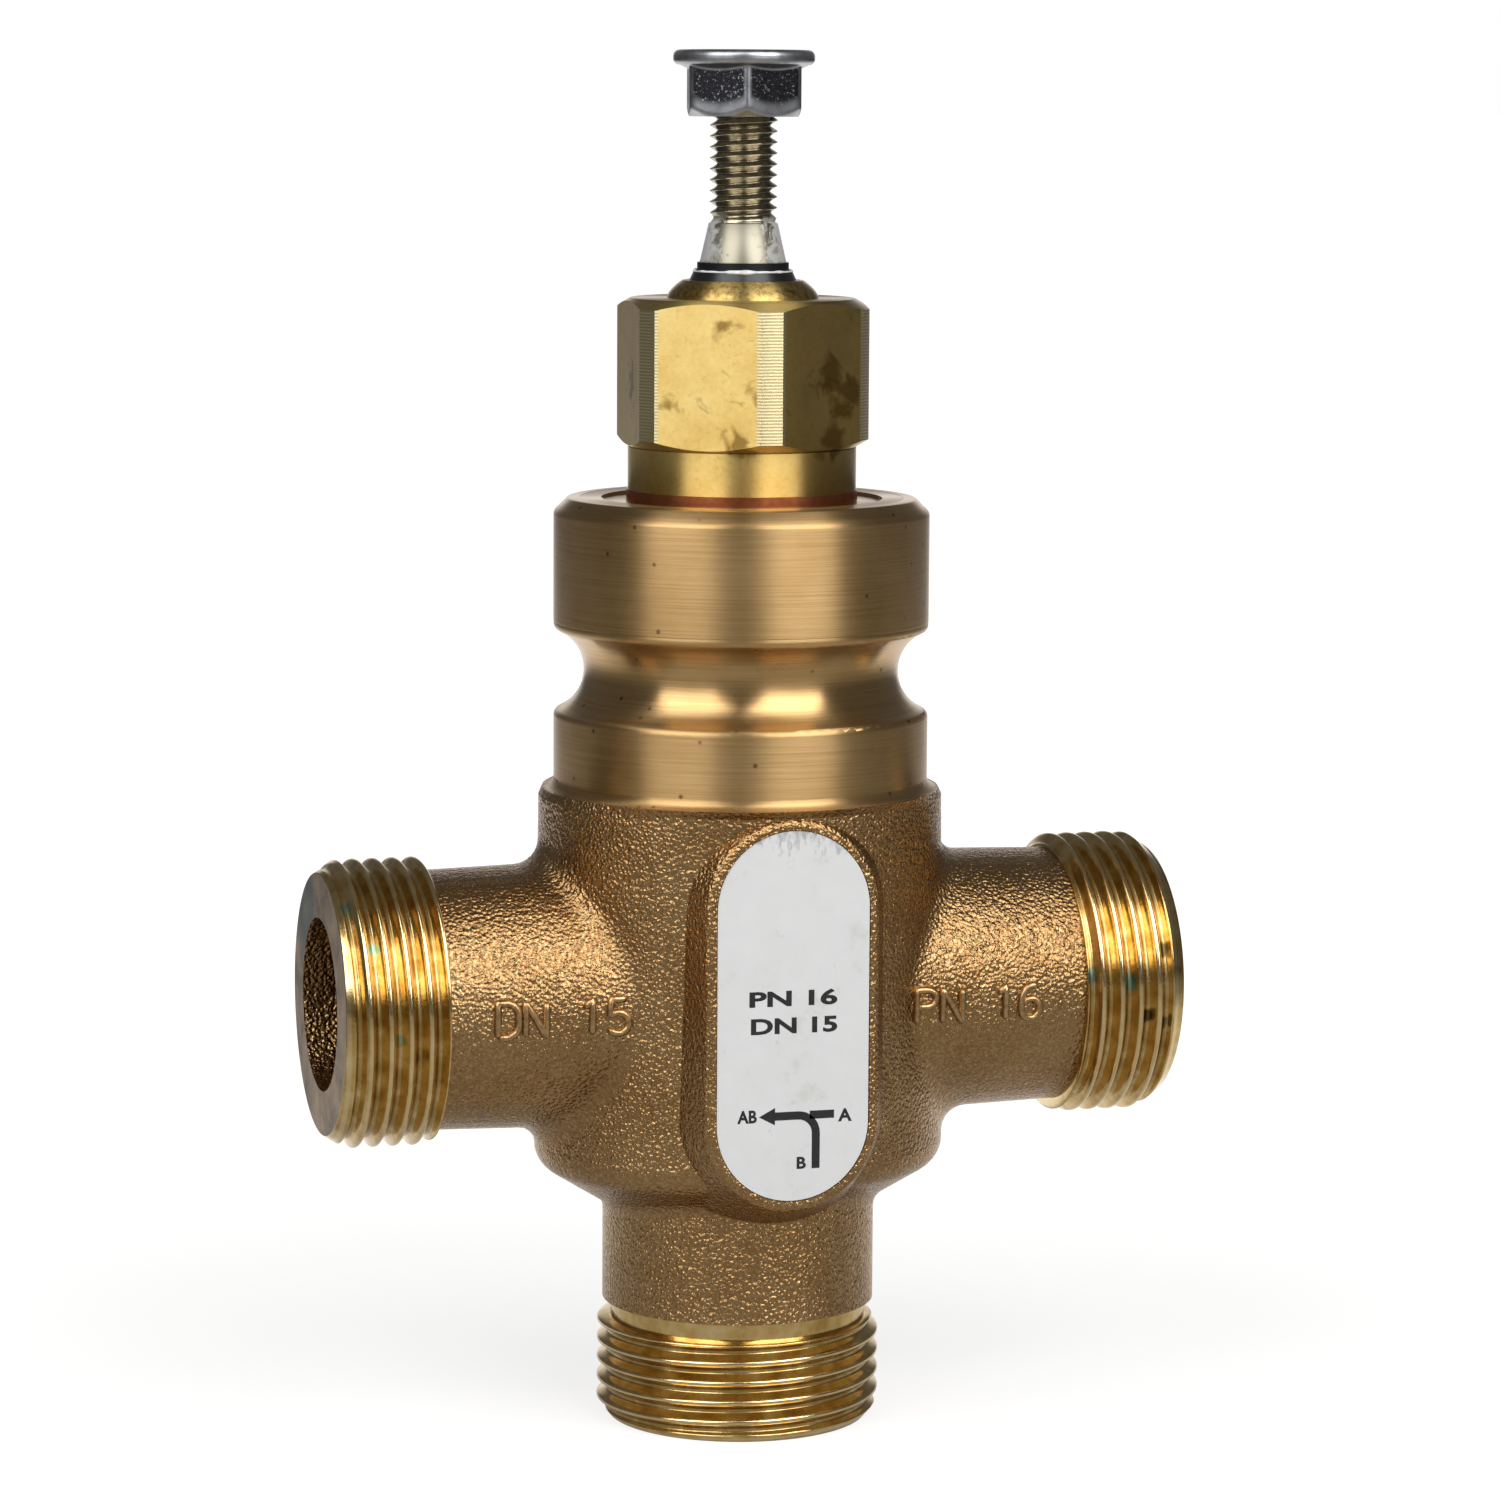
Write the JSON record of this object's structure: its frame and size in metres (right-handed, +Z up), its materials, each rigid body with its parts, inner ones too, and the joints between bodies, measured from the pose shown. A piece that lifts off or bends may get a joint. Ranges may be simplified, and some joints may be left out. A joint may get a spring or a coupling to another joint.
{
  "type": "three-way control valve",
  "caption": "Three-way mixing control valve: cast bronze body with threaded side and bottom ports, grooved actuator collar, brass stuffing box and a lifting stem with a flange nut.",
  "frame": {"origin": "centre of the bottom port's end face, which the valve stands on", "axes": "+Z up along the stem, +X out of side port A, -X out of common port AB, -Y to the label"},
  "size_m": [0.1, 0.0462, 0.1598],
  "materials": {
    "cast_bronze": "sand-cast bronze with machined collar, faces and threads",
    "turned_brass": "turned and milled brass, lightly tarnished",
    "copper": "soft copper, satin",
    "black_rubber": "moulded black rubber",
    "white_ptfe": "machined PTFE",
    "stainless_steel": "turned stainless steel",
    "spring_steel": "hardened spring steel, oiled",
    "bush_bronze": "bearing bronze",
    "zinc_steel": "zinc-plated steel",
    "label_film": "printed film, light grey"
  },
  "bodies": {
    "valve": {"valve_body": "cast_bronze", "lower_seat_ring": "turned_brass", "bonnet": "turned_brass", "bonnet_gasket": "copper", "wiper_ring": "black_rubber", "packing_top_ring": "turned_brass", "v_ring_upper": "white_ptfe", "v_ring_middle": "white_ptfe", "v_ring_lower": "white_ptfe", "packing_base_ring": "turned_brass", "thrust_washer": "stainless_steel", "disc_springs": "spring_steel", "guide_bush": "bush_bronze", "retaining_ring": "spring_steel", "label": "label_film"},
    "stem_set": {"stem": "stainless_steel", "valve_plug": "turned_brass", "plug_washer": "stainless_steel", "plug_nut": "stainless_steel"},
    "nut": {"flange_nut": "zinc_steel"}
  },
  "joints": [
    {"name": "stem_lift", "type": "slide", "parent": "valve", "child": "stem_set", "axis": [0, 0, 1], "range_m": [0, 0.02]},
    {"name": "nut_spin", "type": "hinge", "parent": "stem_set", "child": "nut", "pos_m": [0, 0, 0.156], "axis": [0, 0, 1], "continuous": true}
  ]
}
